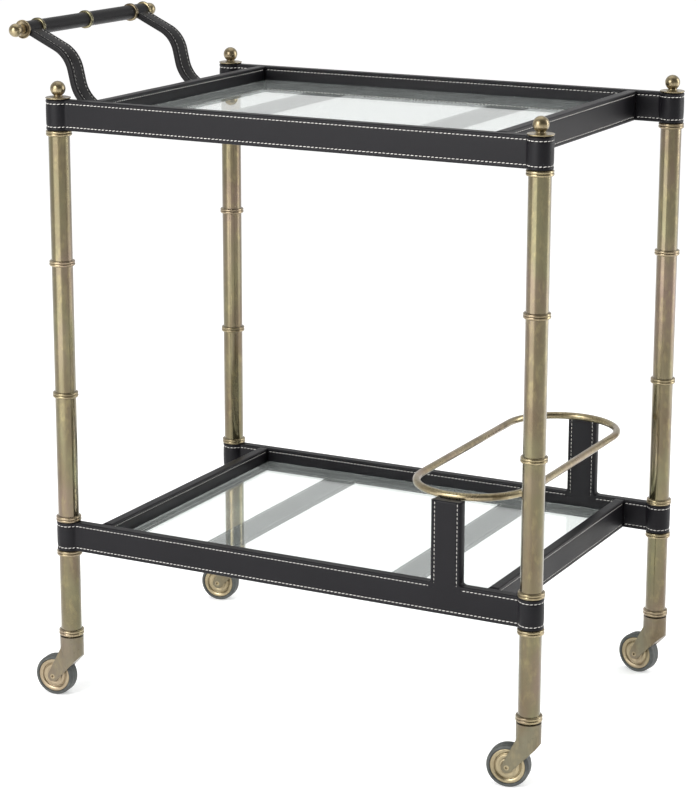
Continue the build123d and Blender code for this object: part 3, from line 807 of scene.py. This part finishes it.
frameBars = {
    "crossReach": 193.5,      # half the length of a cross rail
    "crossSeamIn": 4.0,
    "flatRise": 10.0,         # band's underside to the middle of the ledges and cross-bars
    "flatThickness": 6.0,
    "flatSeamIn": 2.0,
    "ledgeY": 182.5,
    "ledgeWidth": 22.0,
    "crossbarWidth": 40.0,
    "crossbarReach": 171.5,
    "crossbars": (180.5, 429.5),   # from the left leg axis
}
upward = (0, 0, 1)
railSides = (("front", layout["frontY"], 1), ("back", layout["backY"], -1))
rimX = (layout["leftX"] + layout["crossInset"],
        layout["rightX"] - layout["crossInset"] - layout["bandThickness"])
for tray, z0 in bands.items():
    threads = Shells()
    for seed, (sideName, y, inner) in enumerate(railSides):
        cloak = Shells()
        postX = None
        if tray == "lower":
            postX = layout["galleryX"] - (layout["leftX"] + layout["rightX"]) / 2
            galleryPost(cloak, threads, y, 40 + seed)
        longRail(cloak, threads, y, z0, postX, inner, 3 + seed)
        cloak.piece(tray + "_" + sideName + "_rail", bandLeather, "trolley",
                    [tray + "_" + sideName + "_leather"])
    middle = z0 + layout["bandHeight"] / 2
    for sideName, x0 in zip(("left", "right"), rimX):
        bar = Shells()
        x = x0 + layout["bandThickness"] / 2
        reach = frameBars["crossReach"]
        straightBar(bar, threads, (x, -reach, middle), (x, reach, middle), upward, layout["bandThickness"],
                    layout["bandHeight"], ("left", "right"), 11, frameBars["crossSeamIn"])
        bar.piece(tray + "_" + sideName + "_rail", bandLeather, "trolley",
                  [tray + "_" + sideName + "_leather"])
    ledges = Shells()
    low, high, flatZ = rimX[0] + layout["bandThickness"], rimX[1], z0 + frameBars["flatRise"]
    for y in (-frameBars["ledgeY"], frameBars["ledgeY"]):
        straightBar(ledges, threads, (low, y, flatZ), (high, y, flatZ), upward, frameBars["ledgeWidth"],
                    frameBars["flatThickness"], ("top",), 17, frameBars["flatSeamIn"])
    ledges.piece(tray + "_ledges", bandLeather, "trolley", [tray + "_ledge_leathers"])
    crossbars = Shells()
    for offset in frameBars["crossbars"]:
        x, reach = layout["leftX"] + offset, frameBars["crossbarReach"]
        straightBar(crossbars, threads, (x, -reach, flatZ), (x, reach, flatZ), upward,
                    frameBars["crossbarWidth"], frameBars["flatThickness"], ("top",), 19,
                    frameBars["flatSeamIn"])
    crossbars.piece(tray + "_crossbars", bandLeather, "trolley",
                    [tray + "_crossbar_leathers"])
    threads.piece(tray + "_stitches", linen, "trolley")
print("trays covered")

plate = {"halfX": 246.0, "halfY": 192.0, "thickness": 6.0, "corner": 2.0, "arris": 0.2, "top": 19.0}


def plateLoop(inset, z):
    # Outline of the plate at one height: a rectangle with quarter circles for corners, drawn in.
    radius = max(plate["corner"] - inset, 0.3)
    reach = np.array([plate["halfX"], plate["halfY"]]) - inset - radius
    quarters = ((1, 1, 0), (-1, 1, math.pi / 2), (-1, -1, math.pi), (1, -1, 1.5 * math.pi))
    parts = [arc(sx * reach[0], sy * reach[1], radius, start, start + math.pi / 2, 8)
             for sx, sy, start in quarters]
    loop = np.vstack(parts)
    return np.column_stack([loop, np.full(len(loop), z)])


for tray, z0 in bands.items():
    cut, thick = plate["arris"], plate["thickness"]
    soft = 0.3 * cut
    steps = ((4.0, 0.0), (cut, 0.0), (soft, soft), (0.0, cut), (0.0, thick - cut), (soft, thick - soft),
             (cut, thick), (4.0, thick))
    middleX = (rimX[0] + layout["bandThickness"] + rimX[1]) / 2
    grid = np.array([plateLoop(inset, z) for inset, z in steps])
    shelf = Shells()
    shelf.add(grid + np.array([middleX, 0, z0 + plate["top"] - thick]))
    shelf.piece(tray + "_glass_plate", shelfGlass, tray + "_glass_shelf", [tray + "_glass"])
print("glass cut")

grip = {
    "bore": 5.1,
    "leather": 9.0,
    "wrapStart": 106.5,      # middle of the bar to the near end of a strap's wrap
    "wrapLength": 27.0,
    "ringHalf": 2.5,
    "ringFoot": 9.6,
    "ringGroove": 10.2,
    "ringCrown": 11.3,
    "ringOffset": 104.0,
    "capOffset": 133.5,
    "knobOffset": 135.0,
    "knobRadius": 8.2,
    "knobNeck": 5.4,
    "knobCentre": 15.0,
    "knobSeat": 1.5,
}
bore, skin, long = grip["bore"], grip["leather"], grip["wrapLength"]
wrapOutline = eased(np.array([[bore, 0.0], [skin - 0.2, 0.0], [skin, 0.4], [skin, long - 0.4],
                              [skin - 0.2, long], [bore, long], [bore, 0.0]]))
half, foot = grip["ringHalf"], grip["ringFoot"]
barRing = np.vstack([
    [[bore, -half], [foot, -half]],
    beads(0.05 - half, half - 0.05, grip["ringGroove"], grip["ringCrown"], 2),
    [[foot, half], [bore, half], [bore, -half]],
])
capOutline = eased(np.array([[5.1, 0.0], [9.6, 0.0], [10.9, 0.4], [11.3, 1.2], [11.3, 2.4], [10.9, 2.9],
                             [10.3, 2.8], [9.2, 1.7], [6.6, 1.5], [5.1, 1.5], [5.1, 0.0]]))
threads = Shells()
for sideName, side in (("front", -1), ("back", 1)):
    strap = Shells()
    handleStrap(strap, threads, side, 60 + side)
    strap.add(lathe(wrapOutline, (layout["barX"], side * grip["wrapStart"], layout["barZ"]), barFrame(side)),
              capEnds=False)
    strap.piece("handle_" + sideName + "_strap", strapLeather, "trolley",
                ["handle_" + sideName + "_arm_leather"])
threads.piece("handle_stitches", linen, "trolley")
rings = Shells()
for y in (-grip["ringOffset"], 0.0, grip["ringOffset"]):
    rings.add(lathe(barRing, (layout["barX"], y, layout["barZ"]), alongY), capEnds=False)
rings.piece("handle_rings_turned", tubeBrass, "trolley", ["handle_rings"])
caps = Shells()
knobs = Shells()
knobOutline = ballProfile(grip["knobRadius"], grip["knobNeck"], grip["knobCentre"], grip["knobSeat"])
for side in (-1, 1):
    capPlace = (layout["barX"], side * grip["capOffset"], layout["barZ"])
    knobPlace = (layout["barX"], side * grip["knobOffset"], layout["barZ"])
    caps.add(lathe(capOutline, capPlace, barFrame(side)), capEnds=False)
    knobs.add(lathe(knobOutline, knobPlace, barFrame(side)))
caps.piece("handle_end_caps", trimBrass, "trolley", ["handle_end_discs"])
knobs.piece("handle_end_knobs", trimBrass, "trolley", ["handle_end_balls"])
print("handle made")

# Rings and finials of the legs: four rings on the upper tube, one under the lower tray, one at the foot.
lowerTop = layout["lowerBand"] + layout["bandHeight"]
upperLow = layout["upperBand"] - ring["height"]
middleRing, ringGap = (lowerTop + upperLow) / 2, (upperLow - lowerTop) * ring["spacing"] / 2
ringPlaces = (lowerTop, middleRing - ringGap, middleRing + ringGap, upperLow,
              layout["lowerBand"] - ring["height"])
bandTop = layout["upperBand"] + layout["bandHeight"]
finialBall = ballProfile(finial["ball"], finial["neck"], finial["rise"], finial["seat"])
flanges = Shells()
for name, (x, y) in legs.items():
    turned = Shells()
    for z in ringPlaces:
        turned.add(lathe(ringProfile(ring["height"]), (x, y, z)), capEnds=False)
    turned.add(lathe(ringProfile(ring["footHeight"]), (x, y, layout["legFoot"])), capEnds=False)
    turned.piece(name + "_rings_turned", trimBrass, "trolley", [name + "_rings"])
    flanges.add(lathe(finialDish, (x, y, bandTop)), capEnds=False)
    ball = Shells()
    ball.add(lathe(finialBall, (x, y, bandTop)))
    ball.piece(name + "_finial", trimBrass, "trolley", [name + "_finial_ball"])
flanges.piece("finial_dishes", trimBrass, "trolley", ["finial_flanges"])
print("legs turned")

wheel = {"trail": 22.0, "radius": 25.0}
# Half outlines, radius and distance from the wheel's middle plane.
hubHalf = np.array([
    [3.05, 8.9], [6.2, 8.9], [7.0, 8.3], [7.2, 7.2], [8.6, 7.0], [8.9, 6.7], [9.3, 7.0], [13.4, 7.0],
    [14.0, 6.6], [14.2, 5.3], [15.2, 5.3], [15.5, 6.2], [16.0, 6.8], [19.6, 7.5], [20.4, 7.3]])
hubOutline = np.vstack([hubHalf, hubHalf[::-1] * [1, -1], hubHalf[:1]])
tyreHalf = np.vstack([
    [[20.4, 0.0], [20.4, 6.9], [20.9, 7.9], [21.6, 8.4]],
    arc(21.8, 5.3, 3.2, math.pi / 2, 0, 9)[1:],
    [[25.0, 2.6], [24.85, 2.35], [25.0, 2.1]],
])
tyreOutline = np.vstack([tyreHalf, tyreHalf[::-1] * [1, -1]])
for name, (x, y) in legs.items():
    angle = math.radians(castorAngles[name])
    ahead = np.array([math.cos(angle), math.sin(angle), 0])
    axleWay = np.array([-math.sin(angle), math.cos(angle), 0])
    centre = (x + wheel["trail"] * math.cos(angle), y + wheel["trail"] * math.sin(angle), wheel["radius"])
    turn = np.stack([ahead, np.array([0, 0, 1.0]), axleWay], -1)
    hub = Shells()
    hub.add(lathe(hubOutline, centre, turn), capEnds=False)
    hub.piece(name + "_hub_turned", hubBrass, "wheel_" + name, [name + "_wheel_hub"])
    tyre = Shells()
    tyre.add(lathe(tyreOutline, centre, turn), capEnds=False)
    tyre.piece(name + "_tyre_moulded", tyreRubber, "wheel_" + name, [name + "_wheel_tyre"])
print("wheels turned")

studio = {"fill": 1.0, "behind": 0.95, "front": 0.12, "paper": 0.32, "paperSize": 40.0}
# Each lamp: place, the point that it faces, width, height, power.
lamps = {
    "key": ((-0.9, -3.0, 1.9), (0.04, 0, 0.45), 1.3, 2.0, 60.0),
    "rim": ((2.6, 1.7, 1.3), (0.04, 0, 0.45), 0.5, 2.2, 30.0),
    "top": ((-0.2, 0.3, 3.0), (0.04, 0, 0.4), 2.4, 2.4, 16.0),
    "leftCard": ((-0.45, -1.60, 0.82), (0.04, 0, 0.82), 1.5, 1.6, 15.0),
    "rightCard": ((1.30, 0.85, 0.82), (0.04, 0, 0.82), 0.9, 1.6, 5.0),
}
view = {
    "place": (1.3546, -2.5780, 1.1186),
    "azimuth": 27.026,
    "down": 13.578,
    "roll": 0.213,
    "focal": 2456.5,
    "middle": (364.9, 357.6),
}


def floorShader():
    # Seamless paper: colour = near white with a faint mottle; a little light of its own keeps it white
    # far off.
    s = Shader("paper")
    tone = s.mix(s.noise(3, 3), colour(0.90, 0.90, 0.90), colour(0.92, 0.92, 0.92))
    s.principled(Base_Color=tone, Roughness=0.9, Specular_IOR_Level=0.1, Emission_Color=tone,
                 Emission_Strength=studio["paper"])
    return s.material


def addStage():
    size = studio["paperSize"]
    corners = [(-size, -size, 0), (size, -size, 0), (size, size, 0), (-size, size, 0)]
    mesh = bpy.data.meshes.new("paperFloor")
    mesh.from_pydata(corners, [], [(0, 1, 2, 3)])
    mesh.materials.append(floorShader())
    obj = bpy.data.objects.new("paperFloor", mesh)
    bpy.context.scene.collection.objects.link(obj)


def addLamp(name, place, target, width, height, power):
    data = bpy.data.lights.new(name, "AREA")
    data.shape = "RECTANGLE"
    data.size, data.size_y = width, height
    data.energy = power
    obj = bpy.data.objects.new(name, data)
    obj.location = place
    obj.rotation_mode = "QUATERNION"
    obj.rotation_quaternion = (Vector(target) - Vector(place)).to_track_quat("-Z", "Y")
    obj.visible_camera = False
    bpy.context.scene.collection.objects.link(obj)


def addWorld():
    # Open white room for fill; in reflections it is bright behind the trolley and dim on the camera's side.
    world = bpy.data.worlds.new("studio")
    bpy.context.scene.world = world
    world.use_nodes = True
    tree = world.node_tree
    tree.nodes.clear()
    way = tree.nodes.new("ShaderNodeTexCoord")
    dot = tree.nodes.new("ShaderNodeVectorMath")
    dot.operation = "DOT_PRODUCT"
    angle = math.radians(view["azimuth"])
    dot.inputs[1].default_value = (-math.sin(angle), math.cos(angle), 0.25)
    tree.links.new(way.outputs["Generated"], dot.inputs[0])
    ramp = tree.nodes.new("ShaderNodeMapRange")
    ramp.interpolation_type = "SMOOTHSTEP"
    for index, value in ((1, -0.6), (2, 0.75), (3, studio["front"]), (4, studio["behind"])):
        ramp.inputs[index].default_value = value
    tree.links.new(dot.outputs["Value"], ramp.inputs[0])
    shine = tree.nodes.new("ShaderNodeBackground")
    tree.links.new(ramp.outputs[0], shine.inputs["Strength"])
    fill = tree.nodes.new("ShaderNodeBackground")
    fill.inputs["Strength"].default_value = studio["fill"]
    ray = tree.nodes.new("ShaderNodeLightPath")
    mix = tree.nodes.new("ShaderNodeMixShader")
    tree.links.new(ray.outputs["Is Glossy Ray"], mix.inputs[0])
    tree.links.new(fill.outputs[0], mix.inputs[1])
    tree.links.new(shine.outputs[0], mix.inputs[2])
    out = tree.nodes.new("ShaderNodeOutputWorld")
    tree.links.new(mix.outputs[0], out.inputs["Surface"])


def addCamera():
    data = bpy.data.cameras.new("camera")
    width, height = 697.0, 800.0
    data.sensor_width = 36.0
    data.lens = view["focal"] * data.sensor_width / height
    data.shift_x = (width / 2 - view["middle"][0]) / height
    data.shift_y = (view["middle"][1] - height / 2) / height
    az, down, roll = (math.radians(view[k]) for k in ("azimuth", "down", "roll"))
    ahead = Vector((-math.sin(az) * math.cos(down), math.cos(az) * math.cos(down), -math.sin(down)))
    right = ahead.cross(Vector((0, 0, 1))).normalized()
    up = right.cross(ahead)
    turnedRight = right * math.cos(roll) + up * math.sin(roll)
    turnedUp = up * math.cos(roll) - right * math.sin(roll)
    matrix = Matrix((turnedRight, turnedUp, -ahead)).transposed().to_4x4()
    matrix.translation = Vector(view["place"])
    obj = bpy.data.objects.new("camera", data)
    obj.matrix_world = matrix
    bpy.context.scene.collection.objects.link(obj)
    bpy.context.scene.camera = obj


addStage()
addWorld()
for lampName, values in lamps.items():
    addLamp(lampName, *values)
addCamera()
bpy.context.scene.view_settings.view_transform = "Standard"
print("studio lit")
